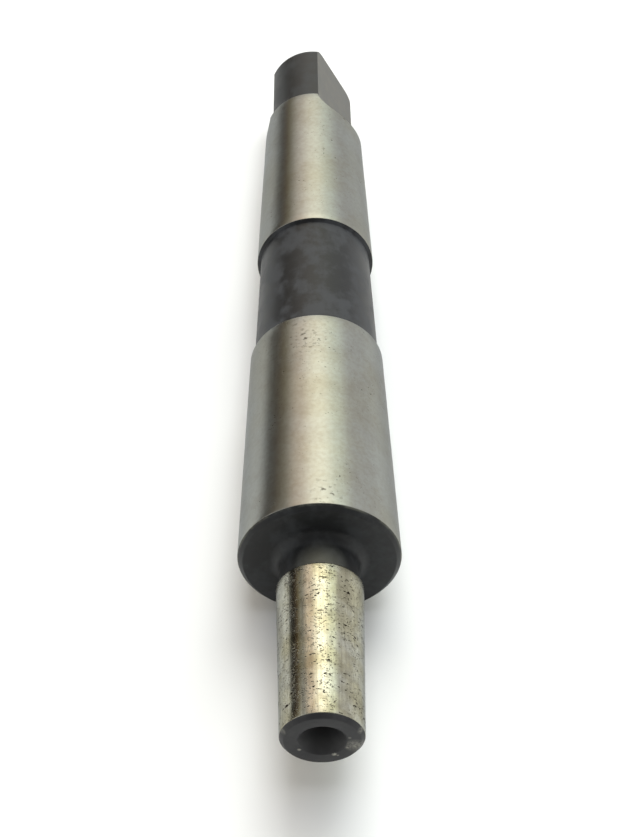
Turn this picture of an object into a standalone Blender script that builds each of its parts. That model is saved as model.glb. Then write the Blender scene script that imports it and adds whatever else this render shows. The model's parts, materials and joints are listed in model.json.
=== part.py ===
"""Drill chuck arbor: a Morse taper shank with a tang, and a short taper nose for the chuck.

The arbor is one solid piece of hardened steel, turned from the bar, relieved, ground on its
tapers and milled flat on both sides of its tang. It has no moving parts and no fasteners.

Frame: metres, +Z up, with the arbor's axis along Y. The origin is the centre of the shank's
gauge plane, where the Morse taper has its nominal diameter, and +Y runs to the tang.
"""

import math

import bmesh
import bpy
from mathutils import Matrix

MM = 0.001

# Driving dimensions, in millimetres and degrees.

# Morse taper No. 1 shank. Places along it are counted from its front shoulder to its tang.
SHANK_LENGTH = 65.5  # shoulder face to tang end
GAUGE_DIA = 12.065  # the taper's nominal diameter, at the gauge plane
GAUGE_SETBACK = 3.5  # shoulder face to gauge plane
MORSE_TAPER = 1.0 / 20.047  # change of diameter for each millimetre of length
SHOULDER_CHAMFER = 0.4

# The turned relief between the two ground lands
FRONT_LAND_END = 21.6
RELIEF_WIDTH = 13.6
RELIEF_DEPTH = 0.34
RELIEF_STEP = 0.2  # length of the slope at each end of the relief

# The tang: a short turned length, milled flat on two sides
TANG_LENGTH = 9.2  # turned length behind the taper's small end
TANG_DIA = 8.7
TANG_THICKNESS = 5.2
TANG_FLAT_LENGTH = 8.2  # straight length of each flat, from the tang end
TANG_CUTTER_RADIUS = 5.0  # radius of the milled run-out at the flat's front end
TANG_CORNER_RADIUS = 1.0
TANG_ROLL = 30.0  # angle of the flats' normal above +X

# Short taper nose, which the chuck is pressed on
NOSE_LENGTH = 15.4  # shoulder face to nose end
NOSE_END_DIA = 5.8
NOSE_TAPER = 0.04929  # change of diameter for each millimetre of length
NOSE_CHAMFER = 0.3
NECK_LENGTH = 2.7  # turned neck between the nose taper and the shoulder
NECK_DIA = 5.9
NECK_FILLET = 0.9

# Centre holes in both ends: a 60 degree countersink with a pilot hole
CENTRE_MOUTH_DIA = 3.35
CENTRE_PILOT_DIA = 1.6
CENTRE_DEPTH = 3.5
CENTRE_CONE_ANGLE = 60.0
DRILL_POINT_ANGLE = 118.0

# Ground steel, as a linear colour
STEEL_COLOUR = (0.56, 0.56, 0.51)
STEEL_ROUGHNESS = 0.32

# Mesh fineness
TURN_STEPS = 72
FILLET_STEPS = 6
RUN_OUT_STEPS = 16
CUTTER_MARGIN = 2.0
WELD = 1e-7  # metres


def shank_radius(place):
    """Radius of the Morse taper at a place counted from the shoulder face."""
    return (GAUGE_DIA + (GAUGE_SETBACK - place) * MORSE_TAPER) / 2


def nose_radius(place):
    """Radius of the nose taper at a place, which is below zero in front of the shoulder face."""
    return (NOSE_END_DIA + (NOSE_LENGTH + place) * NOSE_TAPER) / 2


def arc(centre, radius, start, end, steps):
    """Points of an arc in the profile's plane, with both of its ends; angles are in degrees."""
    points = []
    for step in range(steps + 1):
        angle = math.radians(start + (end - start) * step / steps)
        points.append((centre[0] + radius * math.cos(angle), centre[1] + radius * math.sin(angle)))
    return points


def centre_hole():
    """(radius, depth) points of a centre hole, from the tip of its pilot to its mouth."""
    mouth, pilot = CENTRE_MOUTH_DIA / 2, CENTRE_PILOT_DIA / 2
    cone_depth = (mouth - pilot) / math.tan(math.radians(CENTRE_CONE_ANGLE / 2))
    tip_length = pilot / math.tan(math.radians(DRILL_POINT_ANGLE / 2))
    return [(0.0, CENTRE_DEPTH + tip_length), (pilot, CENTRE_DEPTH), (pilot, cone_depth), (mouth, 0.0)]


def tang_profile():
    """The tang from the axis at its end face to its shoulder at the taper's small end."""
    hole = [(radius, SHANK_LENGTH - depth) for radius, depth in centre_hole()]
    corner = (TANG_DIA / 2 - TANG_CORNER_RADIUS, SHANK_LENGTH - TANG_CORNER_RADIUS)
    taper_end = SHANK_LENGTH - TANG_LENGTH
    step = shank_radius(taper_end) - TANG_DIA / 2
    rounded = arc(corner, TANG_CORNER_RADIUS, 90, 0, FILLET_STEPS)
    return hole + rounded + [(TANG_DIA / 2, taper_end + step)]


def shank_profile():
    """The two ground lands of the Morse taper and the relief between them, tang end first.

    A ring just in front of the tang's flats keeps the faces that they cut short.
    """
    relief_end = FRONT_LAND_END + RELIEF_WIDTH
    floor_end, floor_start = relief_end - RELIEF_STEP, FRONT_LAND_END + RELIEF_STEP
    rear_land = [SHANK_LENGTH - TANG_LENGTH, relief_end]
    ring = SHANK_LENGTH - TANG_FLAT_LENGTH - TANG_CUTTER_RADIUS
    if rear_land[1] < ring < rear_land[0]:
        rear_land.insert(1, ring)
    return [
        *[(shank_radius(place), place) for place in rear_land],
        (shank_radius(floor_end) - RELIEF_DEPTH, floor_end),
        (shank_radius(floor_start) - RELIEF_DEPTH, floor_start),
        (shank_radius(FRONT_LAND_END), FRONT_LAND_END),
        (shank_radius(SHOULDER_CHAMFER), SHOULDER_CHAMFER),
        (shank_radius(SHOULDER_CHAMFER) - SHOULDER_CHAMFER, 0.0),
    ]


def nose_profile():
    """The neck and its fillet, the nose taper and its end face, down to the axis."""
    neck, taper_start = NECK_DIA / 2, -NECK_LENGTH
    step = nose_radius(taper_start) - neck
    chamfer_start = NOSE_CHAMFER - NOSE_LENGTH
    fillet = arc((neck + NECK_FILLET, -NECK_FILLET), NECK_FILLET, 90, 180, FILLET_STEPS)
    hole = [(radius, depth - NOSE_LENGTH) for radius, depth in reversed(centre_hole())]
    return fillet + [
        (neck, taper_start + step),
        (nose_radius(taper_start), taper_start),
        (nose_radius(chamfer_start), chamfer_start),
        (nose_radius(chamfer_start) - NOSE_CHAMFER, -NOSE_LENGTH),
        *hole,
    ]


def new_collection(name):
    """A collection linked to the scene."""
    collection = bpy.data.collections.new(name)
    bpy.context.scene.collection.children.link(collection)
    return collection


def new_object(name, mesh, collection):
    """An object with its mesh, linked to a collection."""
    thing = bpy.data.objects.new(name, mesh)
    collection.objects.link(thing)
    return thing


def steel(name, colour, roughness):
    """A Principled material for the steel."""
    material = bpy.data.materials.new(name)
    material.use_nodes = True
    shader = material.node_tree.nodes["Principled BSDF"]
    shader.inputs["Base Color"].default_value = (*colour, 1.0)
    shader.inputs["Metallic"].default_value = 1.0
    shader.inputs["Roughness"].default_value = roughness
    return material


def profile_mesh(name, points):
    """A chain of edges through (radius, place) points: the axis is Z, and the gauge plane is at zero."""
    outline = bmesh.new()
    verts = []
    for radius, place in points:
        verts.append(outline.verts.new((radius * MM, 0.0, (place - GAUGE_SETBACK) * MM)))
    for first, second in zip(verts, verts[1:]):
        outline.edges.new((first, second))
    mesh = bpy.data.meshes.new(name)
    outline.to_mesh(mesh)
    outline.free()
    return mesh


def turn(thing):
    """Adds the full turn of a profile about its Z axis."""
    screw = thing.modifiers.new("Turn", "SCREW")
    screw.axis = "Z"
    screw.angle = math.tau
    screw.steps = TURN_STEPS
    screw.render_steps = TURN_STEPS
    screw.use_merge_vertices = True
    screw.merge_threshold = WELD
    screw.use_smooth_shade = True


def flat_cutter(name, side, collection):
    """The stock that a milling cutter clears from one side of the tang, with its rounded run-out.

    side is 1 or -1, and the stock lies on that side of the arbor along its own X.
    """
    floor = TANG_THICKNESS / 2
    reach = GAUGE_DIA / 2 + CUTTER_MARGIN
    end = SHANK_LENGTH + CUTTER_MARGIN
    run_out_centre = (floor + TANG_CUTTER_RADIUS, SHANK_LENGTH - TANG_FLAT_LENGTH)
    run_out = arc(run_out_centre, TANG_CUTTER_RADIUS, 180, 270, RUN_OUT_STEPS)
    outline = [(floor, end), *run_out]
    if reach > run_out[-1][0]:
        outline.append((reach, run_out[-1][1]))
    outline.append((outline[-1][0], end))
    stock = bmesh.new()
    low = []
    for across, place in outline:
        low.append(stock.verts.new((side * across * MM, -reach * MM, (place - GAUGE_SETBACK) * MM)))
    sheet = stock.faces.new(low)
    wall = bmesh.ops.extrude_face_region(stock, geom=[sheet])
    raised = [item for item in wall["geom"] if isinstance(item, bmesh.types.BMVert)]
    bmesh.ops.translate(stock, verts=raised, vec=(0.0, 2 * reach * MM, 0.0))
    bmesh.ops.recalc_face_normals(stock, faces=stock.faces)
    mesh = bpy.data.meshes.new(name)
    stock.to_mesh(mesh)
    stock.free()
    cutter = new_object(name, mesh, collection)
    cutter.hide_render = True
    cutter.display_type = "WIRE"
    return cutter


def cut(thing, cutter):
    """Takes a cutter away from an object."""
    boolean = thing.modifiers.new(cutter.name, "BOOLEAN")
    boolean.operation = "DIFFERENCE"
    boolean.solver = "EXACT"
    boolean.object = cutter


def main():
    """Builds the arbor."""
    for thing in list(bpy.data.objects):
        bpy.data.objects.remove(thing, do_unlink=True)
    parts = new_collection("drill_chuck_arbor")
    cutters = new_collection("cutters")

    outline = tang_profile() + shank_profile() + nose_profile()
    arbor = new_object("arbor", profile_mesh("arbor", outline), parts)
    turn(arbor)
    flats = [
        flat_cutter("tang_flat_cutter_right", 1, cutters),
        flat_cutter("tang_flat_cutter_left", -1, cutters),
    ]
    for cutter in flats:
        cut(arbor, cutter)
    arbor.data.materials.append(steel("ground_steel", STEEL_COLOUR, STEEL_ROUGHNESS))

    # Lays the turning axis along +Y, with the flats turned to where the tang lies.
    lying = Matrix.Rotation(math.radians(-90), 4, "X")
    roll = Matrix.Rotation(math.radians(-TANG_ROLL), 4, "Y")
    for thing in [arbor, *flats]:
        thing.matrix_world = roll @ lying


main()
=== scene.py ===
"""Looks of a drill chuck arbor: ground tapers, black oxide between them, and the wear of use.

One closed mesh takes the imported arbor's place. It has the same sizes, finer turning, rounded
edges, milled flats and a finish for each kind of surface. Sizes are in millimetres until they
are built, places run along the arbor from its shoulder face towards the tang, and the frame is
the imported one: metres, +Y towards the tang, with the origin in the shank's gauge plane.
"""

import json
import logging
import math
from dataclasses import dataclass
from enum import Enum

import bmesh
import bpy
from mathutils import Euler, Matrix, Vector


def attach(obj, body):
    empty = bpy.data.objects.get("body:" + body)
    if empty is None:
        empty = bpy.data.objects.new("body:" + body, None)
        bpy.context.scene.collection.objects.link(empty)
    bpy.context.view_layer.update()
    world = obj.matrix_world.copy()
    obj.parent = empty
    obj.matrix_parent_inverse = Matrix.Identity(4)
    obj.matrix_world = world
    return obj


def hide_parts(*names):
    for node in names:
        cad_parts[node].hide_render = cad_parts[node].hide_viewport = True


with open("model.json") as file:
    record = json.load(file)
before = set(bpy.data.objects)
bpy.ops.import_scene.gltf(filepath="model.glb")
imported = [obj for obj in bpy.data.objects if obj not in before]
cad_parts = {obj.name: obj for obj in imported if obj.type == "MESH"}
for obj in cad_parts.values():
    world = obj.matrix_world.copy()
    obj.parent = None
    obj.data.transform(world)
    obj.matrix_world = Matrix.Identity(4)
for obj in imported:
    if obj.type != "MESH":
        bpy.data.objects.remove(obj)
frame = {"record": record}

Tree = bpy.types.NodeTree
Socket = bpy.types.NodeSocket
Point = tuple[float, float, float]

MM = 0.001
WELD = 1e-6  # metres: points closer than this are one point
GAUGE_SETBACK = 3.5  # shoulder face to gauge plane
EDGE_BREAK = 0.05  # width by which a plain edge is rounded
PATCH_CORE = 0.2  # share of a patch's radius within which it has its full strength
NOISE_ROUGHNESS = 0.6  # how much each finer layer of a noise counts
MIX_UNDER, MIX_OVER, MIX_RESULT = 6, 7, 2  # a Mix node's sockets when it mixes colours
ACROSS = (1.0, 0.0, 1.0)  # takes away a point's place along the axis
CAD_NODE = "arbor"
CAD_BODY = "root"
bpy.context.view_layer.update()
MOUNTS = {mount["name"]: mount for mount in frame["record"]["mounts"]}
log = logging.getLogger("arbor")


class Surface(Enum):
    """Kinds of surface on the arbor. The value is the surface's material slot."""

    GROUND_SHANK = 0
    GROUND_NOSE = 1
    BLACK_TURNED = 2
    MILLED_FLAT = 3
    CENTRE_HOLE = 4
    NOSE_END = 5
    BLACK_RELIEF = 6


# ---------------------------------------------------------------- shared helpers


def place_of(mount: str) -> float:
    """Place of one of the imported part's mounts along the arbor, from its shoulder face."""
    return MOUNTS[mount]["pos_m"][1] / MM + GAUGE_SETBACK


def along(place: float) -> float:
    """A place along the arbor as a Y coordinate of the frame, in metres."""
    return (place - GAUGE_SETBACK) * MM


def per_mm(size: float) -> float:
    """Texture scale, for coordinates in metres, of a feature of this size in millimetres."""
    return 1.0 / (size * MM)


def linear(colour: str) -> tuple[float, float, float, float]:
    """Turns an sRGB hex colour into linear numbers.

    Args:
        colour: Six hex digits with a leading #.

    Returns:
        Linear red, green and blue, and an alpha of 1.
    """
    channels = [int(colour[place:place + 2], 16) / 255 for place in (1, 3, 5)]
    curved = [c / 12.92 if c <= 0.04045 else ((c + 0.055) / 1.055) ** 2.4 for c in channels]
    return (curved[0], curved[1], curved[2], 1.0)


def fill(tree: Tree, node: bpy.types.Node, inputs: dict) -> None:
    """Fills or links a node's inputs.

    Args:
        tree: The node tree that holds the node.
        node: The node.
        inputs: Input name or number to a value, or to the output socket that feeds it.
    """
    for key, value in inputs.items():
        if isinstance(value, Socket):
            tree.links.new(value, node.inputs[key])
        else:
            node.inputs[key].default_value = value


def add(tree: Tree, kind: str, inputs: dict | None = None, **settings: object) -> bpy.types.Node:
    """Adds a node with its settings, and fills or links its inputs.

    Args:
        tree: The node tree that gets the node.
        kind: The node's type name, without its leading ShaderNode.
        inputs: Input name or number to a value, or to the output socket that feeds it.
        **settings: Properties of the node itself.

    Returns:
        The new node.
    """
    node = tree.nodes.new("ShaderNode" + kind)
    for name, value in settings.items():
        setattr(node, name, value)
    fill(tree, node, inputs or {})
    return node


def from_axis(tree: Tree, place: Socket) -> Socket:
    """Distance of a point from the arbor's axis, in metres."""
    flat = add(tree, "VectorMath", {0: place, 1: ACROSS}, operation="MULTIPLY").outputs["Vector"]
    return add(tree, "VectorMath", {0: flat}, operation="LENGTH").outputs["Value"]


def strongest(tree: Tree, total: Socket | float, *factors: Socket | float) -> Socket:
    """Joins one more mask to a total, which becomes the larger of the two at each point.

    Args:
        tree: The material's node tree.
        total: The total so far.
        *factors: Masks and strengths, whose product is the mask that is joined.

    Returns:
        The new total.
    """
    mask = factors[0]
    for factor in factors[1:]:
        mask = add(tree, "Math", {0: mask, 1: factor}, operation="MULTIPLY").outputs["Value"]
    return add(tree, "Math", {0: total, 1: mask}, operation="MAXIMUM").outputs["Value"]


def coated(tree: Tree, under: object, mask: Socket, colour: str, amount: float = 1.0) -> Socket:
    """Lays a colour over another where a mask says.

    Args:
        tree: The material's node tree.
        under: The colour below, as linear numbers or the socket that gives it.
        mask: Where the new colour lies.
        colour: The new colour, as sRGB hex.
        amount: How much of it shows where the mask is 1.

    Returns:
        The colour of the two together.
    """
    share = add(tree, "Math", {0: mask, 1: amount}, operation="MULTIPLY").outputs["Value"]
    colours = {MIX_UNDER: under, MIX_OVER: linear(colour)}
    return add(tree, "Mix", {0: share, **colours}, data_type="RGBA").outputs[MIX_RESULT]


def new_mesh_object(name: str, shape: bmesh.types.BMesh) -> bpy.types.Object:
    """Turns a bmesh into an object in the scene, and frees the bmesh.

    Args:
        name: Name of the object and its mesh.
        shape: The finished bmesh.

    Returns:
        The object, at the origin.
    """
    mesh = bpy.data.meshes.new(name)
    shape.to_mesh(mesh)
    shape.free()
    thing = bpy.data.objects.new(name, mesh)
    bpy.context.scene.collection.objects.link(thing)
    return thing


# ---------------------------------------------------------------- patterns


@dataclass(frozen=True)
class Pattern:
    """Uneven spots of a real size, from noise that counts as 0 up to `low` and as 1 from `high` on."""

    around: float  # size of a spot across the arbor's axis
    along: float  # its size along the axis
    low: float
    high: float
    detail: float = 2.0

    def mask(self, tree: Tree, place: Socket) -> Socket:
        """Draws the spots.

        Args:
            tree: The material's node tree.
            place: The Object coordinates.

        Returns:
            A mask that is 1 in a spot.
        """
        scale = (per_mm(self.around), per_mm(self.along), per_mm(self.around))
        spots = add(tree, "Mapping", {"Vector": place, "Scale": scale}).outputs["Vector"]
        shape = {"Vector": spots, "Scale": 1.0, "Detail": self.detail, "Roughness": NOISE_ROUGHNESS}
        noise = add(tree, "TexNoise", shape).outputs["Fac"]
        limits = {"Value": noise, "From Min": self.low, "From Max": self.high}
        return add(tree, "MapRange", limits, interpolation_type="SMOOTHSTEP").outputs["Result"]


@dataclass(frozen=True)
class Patch:
    """A soft round patch: its middle in the arbor's frame, its radius, and its strength."""

    middle: Point
    radius: float
    strength: float = 1.0

    def mask(self, tree: Tree, place: Socket) -> Socket:
        """Draws the patch at its full strength.

        Args:
            tree: The material's node tree.
            place: The Object coordinates.

        Returns:
            A mask that falls from 1 at the patch's core to 0 at its radius.
        """
        middle, edge = tuple(size * MM for size in self.middle), self.radius * MM
        gap = add(tree, "VectorMath", {0: place, 1: middle}, operation="DISTANCE").outputs["Value"]
        limits = {"Value": gap, "From Min": edge, "From Max": PATCH_CORE * edge}
        return add(tree, "MapRange", limits).outputs["Result"]


@dataclass(frozen=True)
class Pits:
    """Rust pits of one size, which come in crowds. A higher threshold makes them fewer."""

    around: float
    along: float
    threshold: float
    crowd_size: float
    crowd_threshold: float
    strength: float = 1.0
    edge_below: float = 0.04  # how far under the threshold a pit's edge starts
    edge_above: float = 0.02  # how far over the threshold a pit has its full depth
    crowd_stretch: float = 1.5  # a crowd's length along the axis, as a share of its size
    crowd_edge: float = 0.08  # how far over its own threshold a crowd is at its thickest

    def holes(self) -> Pattern:
        """The pits themselves, with steep edges."""
        low, high = self.threshold - self.edge_below, self.threshold + self.edge_above
        return Pattern(self.around, self.along, low, high)

    def crowds(self) -> Pattern:
        """The areas where the pits are."""
        length, low = self.crowd_stretch * self.crowd_size, self.crowd_threshold
        return Pattern(self.crowd_size, length, low, low + self.crowd_edge)


@dataclass(frozen=True)
class Stain:
    """A colour that lies on the steel in a pattern, and how much of it shows there."""

    pattern: Pattern
    colour: str
    amount: float


# ---------------------------------------------------------------- finishes


@dataclass(frozen=True)
class Finish:
    """What every finish shares: the name of its material and how the material is made."""

    name: str

    def inputs(self, tree: Tree, place: Socket) -> dict[str, object]:
        """What the shader's inputs get. Each kind of finish says its own."""
        raise NotImplementedError

    def material(self) -> bpy.types.Material:
        """Builds the material.

        Returns:
            The material, whose Principled shader has the finish's inputs.
        """
        material = bpy.data.materials.new(self.name)
        material.use_nodes = True
        tree = material.node_tree
        place = add(tree, "TexCoord").outputs["Object"]
        fill(tree, tree.nodes["Principled BSDF"], self.inputs(tree, place))
        return material


@dataclass(frozen=True)
class GroundSteel(Finish):
    """Hardened tool steel, cylindrically ground.

    The wheel leaves fine lines round the axis, which draw the highlight out along it. Air and
    handling leave faint stains and rust pits. Where the chuck is pushed on and knocked off, it
    rubs bright and dull streaks along the axis.
    """

    bright: str = "#a3a5a1"
    rust: str = "#453c30"
    edge_tint: str = "#bcbec2"  # steel reflects less at a slant than its base colour would
    roughness: float = 0.31
    anisotropy: float = 0.65
    lines: Pattern = Pattern(14.0, 0.12, 0.2, 0.8, 3.0)  # grinding lines, coarse enough to show
    line_depth: float = 0.00022
    line_roughness: float = 0.02  # by which the lines raise and lower the roughness
    stains: tuple[Stain, ...] = (
        Stain(Pattern(6.0, 6.0, 0.40, 0.65, 4.0), "#969079", 0.30),
        Stain(Pattern(2.2, 2.2, 0.42, 0.72, 5.0), "#7c7365", 0.22),
        Stain(Pattern(0.35, 0.35, 0.30, 0.70, 4.0), "#7c7365", 0.24),
    )
    rubs: Stain = Stain(Pattern(0.14, 4.0, 0.35, 0.70, 3.0), "#7c7365", 0.0)
    rub_dulling: float = 0.12  # roughness that a full rub adds
    rub_height: float = 2.0  # height of a full rub, in depths of a grinding line
    specks: Pattern = Pattern(0.40, 0.32, 0.54, 0.70, 4.0)
    patches: tuple[Patch, ...] = (
        Patch((-1.5, 15.2, 5.7), 3.4, 0.6),
        Patch((0.6, -1.9, 6.0), 1.7, 0.6),
    )
    pits: tuple[Pits, ...] = (
        Pits(0.26, 0.18, 0.685, 2.2, 0.57),
        Pits(0.14, 0.12, 0.72, 5.0, 0.46),
    )
    pit_depth: float = 0.008
    pit_dulling: float = 0.4  # roughness that the rust in a pit adds

    def inputs(self, tree: Tree, place: Socket) -> dict[str, object]:
        """Makes the ground surface with its stains, rubs and pits.

        Args:
            tree: The material's node tree.
            place: The Object coordinates.

        Returns:
            What the shader's inputs get.
        """
        lines = self.lines.mask(tree, place)
        rubs = self.rubs.pattern.mask(tree, place)
        pitted = self.pitted(tree, place)

        colour = linear(self.bright)
        for stain in self.stains:
            spots = stain.pattern.mask(tree, place)
            colour = coated(tree, colour, spots, stain.colour, stain.amount)
        colour = coated(tree, colour, rubs, self.rubs.colour, self.rubs.amount)

        swing = self.line_roughness
        ground = {"Value": lines, "To Min": self.roughness - swing, "To Max": self.roughness + swing}
        even = add(tree, "MapRange", ground).outputs["Result"]
        dulling = strongest(tree, 0.0, rubs, self.rub_dulling * self.rubs.amount)
        dulling = strongest(tree, dulling, pitted, self.pit_dulling)

        ridges = strongest(tree, lines, rubs, self.rub_height * self.rubs.amount)
        raised = {"Height": ridges, "Distance": self.line_depth * MM}
        hollow = {"Height": pitted, "Distance": self.pit_depth * MM}
        hollow["Normal"] = add(tree, "Bump", raised).outputs["Normal"]
        return {
            "Base Color": coated(tree, colour, pitted, self.rust),
            "Metallic": 1.0,
            "Roughness": add(tree, "Math", {0: even, 1: dulling}, operation="ADD").outputs["Value"],
            "Specular Tint": linear(self.edge_tint),
            "Anisotropic": self.anisotropy,
            "Tangent": add(tree, "CombineXYZ", {"Y": 1.0}).outputs["Vector"],
            "Normal": add(tree, "Bump", hollow, invert=True).outputs["Normal"],
        }

    def pitted(self, tree: Tree, place: Socket) -> Socket:
        """Gathers the patches of specks and all the rust pits.

        Args:
            tree: The material's node tree.
            place: The Object coordinates.

        Returns:
            A mask that is 1 in a pit.
        """
        total = 0.0
        if self.patches:
            specks = self.specks.mask(tree, place)
            for patch in self.patches:
                total = strongest(tree, total, patch.mask(tree, place), specks, patch.strength)
        for pits in self.pits:
            holes, crowds = pits.holes().mask(tree, place), pits.crowds().mask(tree, place)
            total = strongest(tree, total, holes, crowds, pits.strength)
        return total


@dataclass(frozen=True)
class BlackOxide(Finish):
    """Turned steel with a black oxide coat.

    The coat is a thin dark iron oxide, oiled, so it is dark with a soft sheen. The turning tool
    leaves rings round the axis, and handling leaves lighter mottling.
    """

    dark: str = "#1b1c1d"
    mottled: str = "#353739"
    mottle: Pattern = Pattern(1.6, 2.08, 0.40, 0.70, 5.0)
    mottle_amount: float = 0.85
    # Colour of the steel where the coat is off, and of highlights painted on the coat.
    bare_and_highlight_colour: str = "#8d8d80"
    roughness: float = 0.43
    mottle_roughness: float = 0.58
    sheen: float = 0.3  # the Principled shader's specular level, under 0.5 for a porous coat
    mark_spacing: float = 0.16
    mark_depth: float = 0.002
    mark_detail: float = 2.0

    def inputs(self, tree: Tree, place: Socket) -> dict[str, object]:
        """Makes the coat with its mottling, its tool marks, the places where it is off and any
        highlight painted on it.

        Args:
            tree: The material's node tree.
            place: The Object coordinates.

        Returns:
            What the shader's inputs get.
        """
        mottle = self.mottle.mask(tree, place)
        colour = coated(tree, linear(self.dark), mottle, self.mottled, self.mottle_amount)
        worn = {"Value": mottle, "To Min": self.roughness, "To Max": self.mottle_roughness}
        # Where the steel shows through the coat, and where a highlight is painted in the steel's
        # colour.
        bare_and_highlight = self.bare_and_highlight(tree, place)
        steel = {}
        if bare_and_highlight is not None:
            colour = coated(tree, colour, bare_and_highlight, self.bare_and_highlight_colour)
            steel = {"Metallic": bare_and_highlight}
        raised = {"Height": self.tool_marks(tree, place), "Distance": self.mark_depth * MM}
        return {
            "Base Color": colour,
            "Roughness": add(tree, "MapRange", worn).outputs["Result"],
            "Specular IOR Level": self.sheen,
            "Normal": add(tree, "Bump", raised).outputs["Normal"],
            **steel,
        }

    def bare_and_highlight(self, tree: Tree, place: Socket) -> Socket | None:
        """Where the coat is off and where a highlight is painted: nowhere on this plain coat."""
        return None

    def tool_travel(self, tree: Tree, place: Socket) -> Socket:
        """How far the turning tool has come along the outline, outwards and towards the nose.

        Args:
            tree: The material's node tree.
            place: The Object coordinates.

        Returns:
            The distance, in metres.
        """
        forward = add(tree, "SeparateXYZ", {"Vector": place}).outputs["Y"]
        walked = {0: from_axis(tree, place), 1: forward}
        return add(tree, "Math", walked, operation="SUBTRACT").outputs["Value"]

    def tool_marks(self, tree: Tree, place: Socket) -> Socket:
        """Draws the marks that the tool leaves one after another on its way.

        Args:
            tree: The material's node tree.
            place: The Object coordinates.

        Returns:
            The height of the marks.
        """
        counted = {0: self.tool_travel(tree, place), 1: per_mm(self.mark_spacing)}
        count = add(tree, "Math", counted, operation="MULTIPLY").outputs["Value"]
        uneven = {"W": count, "Scale": 1.0, "Detail": self.mark_detail}
        return add(tree, "TexNoise", uneven, noise_dimensions="1D").outputs["Fac"]


@dataclass(frozen=True)
class MilledOxide(BlackOxide):
    """Worn black oxide on milled steel, where the feed marks of the end mill run across the tang."""

    dark: str = "#4c4b46"
    mottled: str = "#6a6862"
    mottle: Pattern = Pattern(1.0, 1.3, 0.40, 0.70, 5.0)
    mark_spacing: float = 0.5
    mark_depth: float = 0.004
    mark_detail: float = 1.0

    def tool_travel(self, tree: Tree, place: Socket) -> Socket:
        """How far the end mill has come along the tang."""
        return add(tree, "SeparateXYZ", {"Vector": place}).outputs["Y"]


@dataclass(frozen=True)
class RubbedOxideWithHighlight(BlackOxide):
    """Black oxide on turned steel, rubbed through where it is handled and knocked most, with a painted
    highlight on the neck.

    Hands rub the shoulder's rim, and the wedges that drive the chuck off rub the neck's underside. The
    lighter patch on top of the neck, next to the nose, is a painted highlight in the colour of the
    rubbed steel.
    """

    rim_start: float = 5.96  # distances from the axis
    rim_end: float = 6.10
    rim_wear: Pattern = Pattern(1.2, 1.2, 0.35, 0.60, 4.0)
    rim_amount: float = 0.5
    # The first patch, on top of the neck next to the nose, is a painted highlight. The second, under
    # the neck, is a rub from the wedges.
    neck_highlight_and_rubs: tuple[Patch, ...] = (
        Patch((0.1, -6.1, 3.0), 2.3, 0.3),
        Patch((-0.2, -5.6, -3.0), 2.0, 0.3),
    )

    def bare_and_highlight(self, tree: Tree, place: Socket) -> Socket | None:
        """Gathers the rubbed rim, the highlight painted on top of the neck and the rub under it.

        Args:
            tree: The material's node tree.
            place: The Object coordinates.

        Returns:
            A mask that is 1 where the steel shows through and where the neck's highlight is painted.
        """
        limits = {"From Min": self.rim_start * MM, "From Max": self.rim_end * MM}
        rim = add(tree, "MapRange", {"Value": from_axis(tree, place), **limits}).outputs["Result"]
        total = strongest(tree, 0.0, rim, self.rim_wear.mask(tree, place), self.rim_amount)
        for patch in self.neck_highlight_and_rubs:
            total = strongest(tree, total, patch.mask(tree, place), patch.strength)
        return total


@dataclass(frozen=True)
class ChippedOxideWithGlints(BlackOxide):
    """Black oxide on an end face, chipped at its edges, where the steel shows, with glints painted in
    the steel's colour beside the rim of its centre hole.
    """

    # Colour of the chipped spots and of the painted glints.
    bare_and_highlight_colour: str = "#bdbbae"
    ragged: Pattern = Pattern(0.16, 0.16, 0.30, 0.70, 3.0)
    thinnest: float = 0.25  # least strength to which the ragged pattern brings each pale spot down
    chips_and_glints: tuple[Patch, ...] = (
        # The five spots beside the rim of the centre hole are painted glints. The two small ones on the
        # outer chamfer are chipped spots, and the broad faint one is a worn patch.
        Patch((0.82, 0.0, -1.62), 0.21),
        Patch((1.05, 0.0, -1.72), 0.13, 0.60),
        Patch((-1.54, 0.0, -1.02), 0.17, 0.80),
        Patch((1.70, 0.0, -0.80), 0.20, 0.60),
        Patch((1.82, 0.0, 0.35), 0.15, 0.40),
        Patch((-2.66, 0.0, 0.95), 0.30, 0.35),
        Patch((2.60, 0.0, 1.05), 0.35, 0.35),
        Patch((2.20, 0.0, -0.55), 0.80, 0.45),
    )

    def bare_and_highlight(self, tree: Tree, place: Socket) -> Socket | None:
        """Gathers the chipped spots and the painted glints and makes them ragged.

        Args:
            tree: The material's node tree.
            place: The Object coordinates.

        Returns:
            A mask that is 1 where bare steel shows.
        """
        flat = add(tree, "VectorMath", {0: place, 1: ACROSS}, operation="MULTIPLY").outputs["Vector"]
        total = 0.0
        for pale_spot in self.chips_and_glints:
            total = strongest(tree, total, pale_spot.mask(tree, flat), pale_spot.strength)
        ragged = {"Value": self.ragged.mask(tree, place), "To Min": self.thinnest}
        edges = add(tree, "MapRange", ragged).outputs["Result"]
        return add(tree, "Math", {0: total, 1: edges}, operation="MULTIPLY").outputs["Value"]


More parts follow.
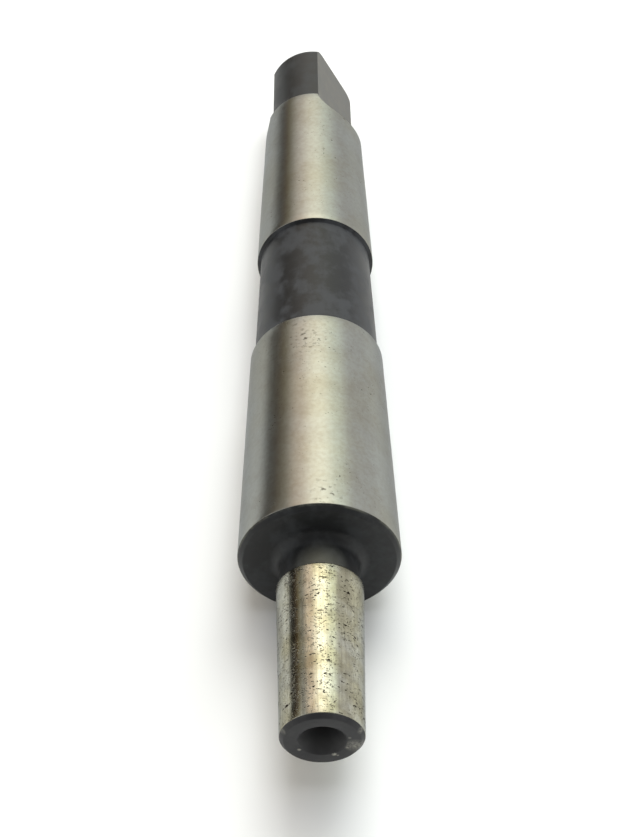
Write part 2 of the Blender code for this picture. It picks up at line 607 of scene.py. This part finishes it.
FINISHES: dict[Surface, Finish] = {
    # Hardened tool steel, ground: a soft bright band along the shank, in a satin grey.
    Surface.GROUND_SHANK: GroundSteel("ground_tool_steel"),
    # The same steel, polished and fretted by the chuck: a brighter, yellower band full of dark pits.
    Surface.GROUND_NOSE: GroundSteel(
        "fretted_ground_steel",
        bright="#c1c1b6",
        rust="#2f2820",
        roughness=0.21,
        stains=(
            Stain(Pattern(3.0, 3.0, 0.40, 0.65, 4.0), "#a1986e", 0.50),
            Stain(Pattern(1.1, 1.1, 0.42, 0.72, 5.0), "#6b6556", 0.40),
            Stain(Pattern(0.35, 0.35, 0.30, 0.70, 4.0), "#6b6556", 0.24),
        ),
        rubs=Stain(Pattern(0.14, 4.0, 0.35, 0.70, 3.0), "#6b6556", 0.30),
        patches=(),
        pits=(
            Pits(0.16, 0.13, 0.62, 1.0, 0.44, 0.5),
            Pits(0.34, 0.18, 0.65, 0.9, 0.46, 0.85),
            Pits(0.55, 0.26, 0.665, 1.4, 0.48),
        ),
        pit_depth=0.012,
    ),
    # Black oxide on turned steel: near black with a soft sheen, grey where it is rubbed through, and
    # with a grey highlight painted on top of the neck.
    Surface.BLACK_TURNED: RubbedOxideWithHighlight("black_oxide_turned"),
    # Black oxide worn thin on milled steel: a dull brownish grey with faint marks across the tang.
    Surface.MILLED_FLAT: MilledOxide("worn_oxide_milled"),
    # Black oxide in a drilled hole: even, and painted a little lighter than the coat outside it. This
    # is painted light that stands in for light reaching into the hole, so that the cone can be read.
    Surface.CENTRE_HOLE: BlackOxide("black_oxide_in_hole_painted_lighter", dark="#343435", mottled="#404041"),
    # Black oxide on a turned end face: charcoal, with pale specks where its edges are chipped, and
    # glints painted as pale specks round its centre hole.
    Surface.NOSE_END: ChippedOxideWithGlints("chipped_black_oxide_with_glints", dark="#29292b", mottled="#3c3c3d"),
    # Black oxide handled for years: black with cloudy grey mottles.
    Surface.BLACK_RELIEF: BlackOxide(
        "handled_black_oxide",
        dark="#18191b",
        mottled="#3a3c3f",
        mottle=Pattern(1.9, 2.47, 0.40, 0.62, 5.0),
    ),
}


# ---------------------------------------------------------------- the arbor


@dataclass(frozen=True)
class Corner:
    """A corner of the turned outline, with the width by which its edge is rounded."""

    radius: float
    place: float
    rounding: float = EDGE_BREAK
    segments: int = 3


@dataclass(frozen=True)
class CentreHole:
    """The centre hole in each end: a countersink with a pilot hole. Angles are in degrees."""

    mouth_dia: float = 3.35
    pilot_dia: float = 1.6
    depth: float = 3.5
    cone_angle: float = 60.0
    drill_point_angle: float = 118.0

    def corners(self, face: float, inwards: int) -> list[Corner]:
        """Outlines the hole, from the tip of its pilot to its mouth.

        Args:
            face: Place of the end face.
            inwards: 1 if the hole goes towards the tang, -1 if it goes towards the nose.

        Returns:
            The corners, tip first.
        """
        mouth, pilot = self.mouth_dia / 2, self.pilot_dia / 2
        cone_depth = (mouth - pilot) / math.tan(math.radians(self.cone_angle / 2))
        tip_depth = self.depth + pilot / math.tan(math.radians(self.drill_point_angle / 2))
        return [
            Corner(0.0, face + inwards * tip_depth, rounding=0.0),
            Corner(pilot, face + inwards * self.depth, rounding=0.0),
            Corner(pilot, face + inwards * cone_depth, rounding=0.0),
            Corner(mouth, face),
        ]


@dataclass(frozen=True)
class Shank:
    """The Morse taper shank: two ground lands on one cone, and the relief between them."""

    gauge_dia: float = 12.065
    taper: float = 1.0 / 20.047
    shoulder_chamfer: float = 0.4
    front_land_end: float = 21.6
    relief_end: float = 35.2
    relief_depth: float = 0.34
    relief_step: float = 0.2

    def radius(self, place: float) -> float:
        """Radius of the Morse taper at a place."""
        return (self.gauge_dia + (GAUGE_SETBACK - place) * self.taper) / 2

    def corners(self) -> list[Corner]:
        """Outlines the shank, from the rear land's front end to the shoulder face.

        Returns:
            The corners, rear end first.
        """
        floor_end = self.relief_end - self.relief_step
        floor_start = self.front_land_end + self.relief_step
        edge = self.shoulder_chamfer
        return [
            Corner(self.radius(self.relief_end), self.relief_end),
            Corner(self.radius(floor_end) - self.relief_depth, floor_end),
            Corner(self.radius(floor_start) - self.relief_depth, floor_start),
            Corner(self.radius(self.front_land_end), self.front_land_end),
            Corner(self.radius(edge), edge),
            Corner(self.radius(edge) - edge, 0.0),
        ]


@dataclass(frozen=True)
class Tang:
    """The tang: a short turned length behind the taper, milled flat on two sides."""

    end: float = place_of("tang_end")
    length: float = 9.2
    dia: float = 8.7
    corner_radius: float = 1.0
    corner_segments: int = 8
    flat_length: float = 8.2  # straight length of each flat, from the tang's end
    cutter_radius: float = 5.0  # radius of the run-out at the flat's front end
    cutter_segments: int = 24
    stock_side: float = 20.0  # side of the block that each cut clears

    def start(self) -> float:
        """Place of the taper's small end, where the tang begins."""
        return self.end - self.length

    def corners(self, taper_radius: float) -> list[Corner]:
        """Outlines the tang, from its end face to the taper's small end.

        Args:
            taper_radius: The shank's radius where the tang begins.

        Returns:
            The corners, end face first.
        """
        radius = self.dia / 2
        return [
            Corner(radius, self.end, self.corner_radius, self.corner_segments),
            Corner(radius, self.start() + taper_radius - radius),
            Corner(taper_radius, self.start()),
        ]

    def cutter(self, side: int) -> bpy.types.Object:
        """Makes the stock milled from one side, a block with the cutter's radius at its front.

        Args:
            side: 1 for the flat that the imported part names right, -1 for the other.

        Returns:
            The cutter object.
        """
        mount = MOUNTS["tang_flat_right"]
        normal = Vector(mount["axis"])
        floor = normal.dot(Vector(mount["pos_m"]))
        front = along(self.end - self.flat_length - self.cutter_radius)
        block, middle = bmesh.new(), self.stock_side * MM / 2
        bmesh.ops.create_cube(block, size=self.stock_side * MM)
        behind = Vector((floor + middle, front + middle, 0.0))
        bmesh.ops.translate(block, verts=block.verts[:], vec=behind)
        inner = {vert for vert in block.verts if math.dist(vert.co.xy, (floor, front)) < MM}
        bmesh.ops.bevel(
            block,
            geom=[edge for edge in block.edges if inner.issuperset(edge.verts)],
            offset=self.cutter_radius * MM,
            offset_type="OFFSET",
            affect="EDGES",
            segments=self.cutter_segments,
            profile=0.5,
            material=-1,
        )
        roll = math.atan2(normal.z, normal.x) + (0.0 if side > 0 else math.pi)
        turn = Matrix.Rotation(-roll, 3, "Y")
        bmesh.ops.rotate(block, verts=block.verts[:], cent=(0.0, 0.0, 0.0), matrix=turn)
        for face in block.faces:
            face.material_index = Surface.MILLED_FLAT.value
        return new_mesh_object(f"tang_cutter_{side}", block)


@dataclass(frozen=True)
class Nose:
    """The short taper nose that a chuck sits on, and the neck between it and the shoulder."""

    end: float = place_of("nose_end")
    end_dia: float = 5.8
    taper: float = 0.04929
    chamfer: float = 0.3
    neck_length: float = 2.7
    neck_dia: float = 5.9
    neck_fillet: float = 0.9
    fillet_segments: int = 10

    def radius(self, place: float) -> float:
        """Radius of the nose taper at a place."""
        return (self.end_dia + (place - self.end) * self.taper) / 2

    def corners(self) -> list[Corner]:
        """Outlines the neck and the nose, from the shoulder face to the nose end face.

        Returns:
            The corners, shoulder face first.
        """
        neck, start, rim = self.neck_dia / 2, -self.neck_length, self.end + self.chamfer
        return [
            Corner(neck, 0.0, self.neck_fillet, self.fillet_segments),
            Corner(neck, start + self.radius(start) - neck),
            Corner(self.radius(start), start),
            Corner(self.radius(rim), rim),
            Corner(self.radius(rim) - self.chamfer, self.end),
        ]


@dataclass(frozen=True)
class Arbor:
    """The whole arbor, one piece of steel."""

    hole: CentreHole = CentreHole()
    tang: Tang = Tang()
    shank: Shank = Shank()
    nose: Nose = Nose()
    turn_steps: int = 240
    ring_spacing: float = 1.0  # least spacing of the rings of points on a straight stretch
    sharp_angle: float = 32.0  # degrees between two faces from which their edge is sharp

    def corners(self) -> list[Corner]:
        """Outlines the whole arbor.

        Returns:
            The corners, from the axis in the tang's centre hole to the axis in the nose's.
        """
        return [
            *self.hole.corners(self.tang.end, -1),
            *self.tang.corners(self.shank.radius(self.tang.start())),
            *self.shank.corners(),
            *self.nose.corners(),
            *reversed(self.hole.corners(self.nose.end, 1)),
        ]

    def turned(self) -> bmesh.types.BMesh:
        """Turns the outline about the axis and rounds its edges.

        Returns:
            The turned bar, before its tang is milled.
        """
        corners = self.corners()
        bar = bmesh.new()
        spots = [bar.verts.new((spot.radius * MM, along(spot.place), 0.0)) for spot in corners]
        for edge in [bar.edges.new(pair) for pair in zip(spots, spots[1:])]:
            cuts = int(edge.calc_length() / (self.ring_spacing * MM))
            if cuts:
                bmesh.ops.subdivide_edges(bar, edges=[edge], cuts=cuts)
        bmesh.ops.spin(
            bar,
            geom=bar.verts[:] + bar.edges[:],
            cent=(0.0, 0.0, 0.0),
            axis=(0.0, 1.0, 0.0),
            dvec=(0.0, 0.0, 0.0),
            angle=math.tau,
            steps=self.turn_steps,
            use_merge=True,
        )
        bmesh.ops.remove_doubles(bar, verts=bar.verts[:], dist=WELD)
        for corner in corners:
            if corner.rounding:
                self.round_edge(bar, corner)
        bmesh.ops.dissolve_degenerate(bar, dist=WELD, edges=bar.edges[:])
        bmesh.ops.recalc_face_normals(bar, faces=bar.faces[:])
        return bar

    def round_edge(self, bar: bmesh.types.BMesh, corner: Corner) -> None:
        """Rounds the ring of edges that a corner leaves on the turned bar.

        Args:
            bar: The turned bar.
            corner: The corner, which says how far it is rounded.
        """

        def on_ring(vert: bmesh.types.BMVert) -> bool:
            """Whether a vertex lies on the corner's ring."""
            off = math.hypot(vert.co.x, vert.co.z) - corner.radius * MM
            return abs(off) < WELD and abs(vert.co.y - along(corner.place)) < WELD

        ring = {vert for vert in bar.verts if on_ring(vert)}
        bmesh.ops.bevel(
            bar,
            geom=[edge for edge in bar.edges if ring.issuperset(edge.verts)],
            offset=corner.rounding * MM,
            offset_type="OFFSET",
            affect="EDGES",
            segments=corner.segments,
            profile=0.5,
            material=-1,
            clamp_overlap=True,
        )

    def surface_at(self, centre: Vector) -> Surface:
        """The kind of surface that a face of the turned bar has.

        Args:
            centre: Middle of the face, in metres.

        Returns:
            The kind of surface.
        """
        shank, place = self.shank, centre.y / MM + GAUGE_SETBACK
        if math.hypot(centre.x, centre.z) / MM < self.hole.mouth_dia / 2:
            return Surface.CENTRE_HOLE
        if place < self.nose.end + self.nose.chamfer:
            return Surface.NOSE_END
        if place < -self.nose.neck_length:
            return Surface.GROUND_NOSE
        if shank.front_land_end < place < shank.relief_end:
            return Surface.BLACK_RELIEF
        if shank.shoulder_chamfer < place < self.tang.start():
            return Surface.GROUND_SHANK
        return Surface.BLACK_TURNED

    def build(self) -> bpy.types.Object:
        """Turns and mills the arbor.

        Returns:
            The finished piece, with no modifiers left on it.
        """
        bar = self.turned()
        for face in bar.faces:
            face.material_index = self.surface_at(face.calc_center_median()).value
            face.smooth = True
        piece = new_mesh_object("drill_chuck_arbor", bar)
        for _ in Surface:
            piece.data.materials.append(None)
        cutters = [self.tang.cutter(side) for side in (1, -1)]
        for cutter in cutters:
            cut = piece.modifiers.new(cutter.name, "BOOLEAN")
            cut.operation, cut.solver, cut.object = "DIFFERENCE", "MANIFOLD", cutter
        depsgraph = bpy.context.evaluated_depsgraph_get()
        milled = bpy.data.meshes.new_from_object(piece.evaluated_get(depsgraph))
        piece.modifiers.clear()
        piece.data = milled
        for cutter in cutters:
            bpy.data.objects.remove(cutter)
        milled.set_sharp_from_angle(angle=math.radians(self.sharp_angle))
        return piece

    def dress(self, piece: bpy.types.Object) -> None:
        """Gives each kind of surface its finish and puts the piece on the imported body.

        Args:
            piece: The finished piece.
        """
        for surface, finish in FINISHES.items():
            piece.data.materials[surface.value] = finish.material()
        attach(piece, CAD_BODY)
        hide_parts(CAD_NODE)


# ---------------------------------------------------------------- the set


@dataclass(frozen=True)
class Lobe:
    """A soft patch of the studio's surroundings, seen in the steel."""

    direction: Point
    inner: float  # degrees from the middle within which it has its full strength
    outer: float  # degrees at which it ends
    strength: float  # below zero for a dark patch
    colour: str = "#ffffff"


@dataclass(frozen=True)
class Softbox:
    """A square soft lamp that faces the arbor and isn't mirrored in the steel."""

    name: str
    place: Point  # metres
    side: float  # metres
    power: float  # watts
    colour: str = "#f3f7ff"

    def build(self) -> None:
        """Hangs the lamp."""
        data = bpy.data.lights.new(self.name, "AREA")
        data.shape, data.size, data.energy = "SQUARE", self.side, self.power
        data.color = linear(self.colour)[:3]
        thing = bpy.data.objects.new(self.name, data)
        thing.location = self.place
        thing.rotation_euler = (-thing.location).to_track_quat("-Z", "Y").to_euler()
        thing.visible_glossy = False
        bpy.context.scene.collection.objects.link(thing)


@dataclass(frozen=True)
class Table:
    """A plain pale table top under the arbor."""

    side: float = 3.0  # metres
    gap: float = 0.01
    colour: str = "#ecedec"
    roughness: float = 0.9

    def build(self, shank: Shank) -> None:
        """Lays the table top along the shank's lower side, just clear of both of its lands.

        Args:
            shank: The shank that lies on it.
        """
        top = bmesh.new()
        bmesh.ops.create_grid(top, x_segments=1, y_segments=1, size=self.side / 2)
        slope = Matrix.Rotation(math.atan(shank.taper / 2), 3, "X")
        bmesh.ops.rotate(top, verts=top.verts[:], cent=(0.0, 0.0, 0.0), matrix=slope)
        height = -(shank.radius(GAUGE_SETBACK) + self.gap) * MM
        bmesh.ops.translate(top, verts=top.verts[:], vec=(0.0, 0.0, height))
        thing = new_mesh_object("table_top", top)
        # Matt white laminate: an even white that takes soft shadows and mirrors nothing.
        material = bpy.data.materials.new("matt_white_laminate")
        material.use_nodes = True
        white = {"Base Color": linear(self.colour), "Roughness": self.roughness}
        fill(material.node_tree, material.node_tree.nodes["Principled BSDF"], white)
        thing.data.materials.append(material)


@dataclass(frozen=True)
class Studio:
    """Soft surroundings, seen in the steel, and soft lamps over the table."""

    table: Table = Table()
    ambient: float = 0.95
    ambient_colour: str = "#fdfdfc"
    backdrop_colour: str = "#f2f2f0"
    lobes: tuple[Lobe, ...] = (
        Lobe((-0.17, 0.58, 0.80), 10.0, 32.0, 1.05, "#ffe1c2"),
        Lobe((0.17, 0.60, 0.78), 10.0, 32.0, 1.00, "#f2ffde"),
        Lobe((-0.76, 0.60, -0.22), 24.0, 54.0, -1.15, "#e9f0ff"),
        Lobe((0.20, 0.48, 0.84), 5.0, 20.0, 0.40, "#fffbe0"),
        Lobe((-0.46, 0.48, 0.73), 5.0, 22.0, -0.60),
        Lobe((0.0, -0.62, 0.78), 40.0, 72.0, -0.60),
    )
    lamps: tuple[Softbox, ...] = (
        Softbox("back_softbox", (0.08, 0.32, 0.50), 0.32, 2.0),
        Softbox("overhead_fill", (0.03, 0.0, 0.60), 0.3, 0.9),
    )

    def surroundings(self) -> bpy.types.World:
        """Makes an even pale room with bright and dark patches, behind a plain backdrop.

        Returns:
            The world.
        """
        world = bpy.data.worlds.new("studio_surroundings")
        world.use_nodes = True
        tree = world.node_tree
        direction = add(tree, "TexCoord").outputs["Generated"]
        room = Vector(linear(self.ambient_colour)[:3]) * self.ambient
        light = add(tree, "CombineXYZ", dict(enumerate(room))).outputs["Vector"]
        for lobe in self.lobes:
            angle = {0: direction, 1: Vector(lobe.direction).normalized()}
            cosine = add(tree, "VectorMath", angle, operation="DOT_PRODUCT").outputs["Value"]
            edges = {
                "Value": cosine,
                "From Min": math.cos(math.radians(lobe.outer)),
                "From Max": math.cos(math.radians(lobe.inner)),
            }
            mask = add(tree, "MapRange", edges, interpolation_type="SMOOTHERSTEP")
            glow = {0: Vector(linear(lobe.colour)[:3]) * lobe.strength, "Scale": mask.outputs["Result"]}
            patch = add(tree, "VectorMath", glow, operation="SCALE")
            both = {0: light, 1: patch.outputs["Vector"]}
            light = add(tree, "VectorMath", both, operation="ADD").outputs["Vector"]
        least = {0: light, 1: (0.0, 0.0, 0.0)}
        around = add(tree, "VectorMath", least, operation="MAXIMUM").outputs["Vector"]
        seen = add(tree, "LightPath").outputs["Is Camera Ray"]
        views = {0: seen, MIX_UNDER: around, MIX_OVER: linear(self.backdrop_colour)}
        shown = add(tree, "Mix", views, data_type="RGBA").outputs[MIX_RESULT]
        fill(tree, tree.nodes["Background"], {"Color": shown})
        return world

    def build(self, shank: Shank) -> None:
        """Builds the table, the surroundings and the lamps.

        Args:
            shank: The shank that lies on the table.
        """
        self.table.build(shank)
        bpy.context.scene.world = self.surroundings()
        for lamp in self.lamps:
            lamp.build()


@dataclass(frozen=True)
class Viewpoint:
    """A camera in front of the nose, looking down along the arbor."""

    aim: Point = (-0.28, 11.69, 0.0)
    distance: float = 119.5
    azimuth: float = 0.51  # degrees clockwise from +Y, seen from above
    elevation: float = 44.58  # degrees
    lens: float = 63.15
    clip_start: float = 5.0

    def build(self) -> None:
        """Makes the camera and gives the scene its plain view transform."""
        data = bpy.data.cameras.new("camera")
        data.lens, data.clip_start = self.lens, self.clip_start * MM
        camera = bpy.data.objects.new("camera", data)
        turn = Euler((math.radians(90 - self.elevation), 0.0, math.radians(-self.azimuth)))
        back = turn.to_matrix() @ Vector((0.0, 0.0, self.distance * MM))
        camera.location = Vector(self.aim) * MM + back
        camera.rotation_euler = turn
        bpy.context.scene.collection.objects.link(camera)
        bpy.context.scene.camera = camera
        bpy.context.scene.view_settings.view_transform = "Standard"


def main() -> None:
    """Builds the arbor and the set."""
    logging.basicConfig(level=logging.INFO, format="%(name)s: %(message)s")
    arbor = Arbor()
    piece = arbor.build()
    arbor.dress(piece)
    log.info("%s: %d faces, %d finishes", piece.name, len(piece.data.polygons), len(FINISHES))
    Studio().build(arbor.shank)
    Viewpoint().build()


if __name__ == "__main__":
    main()
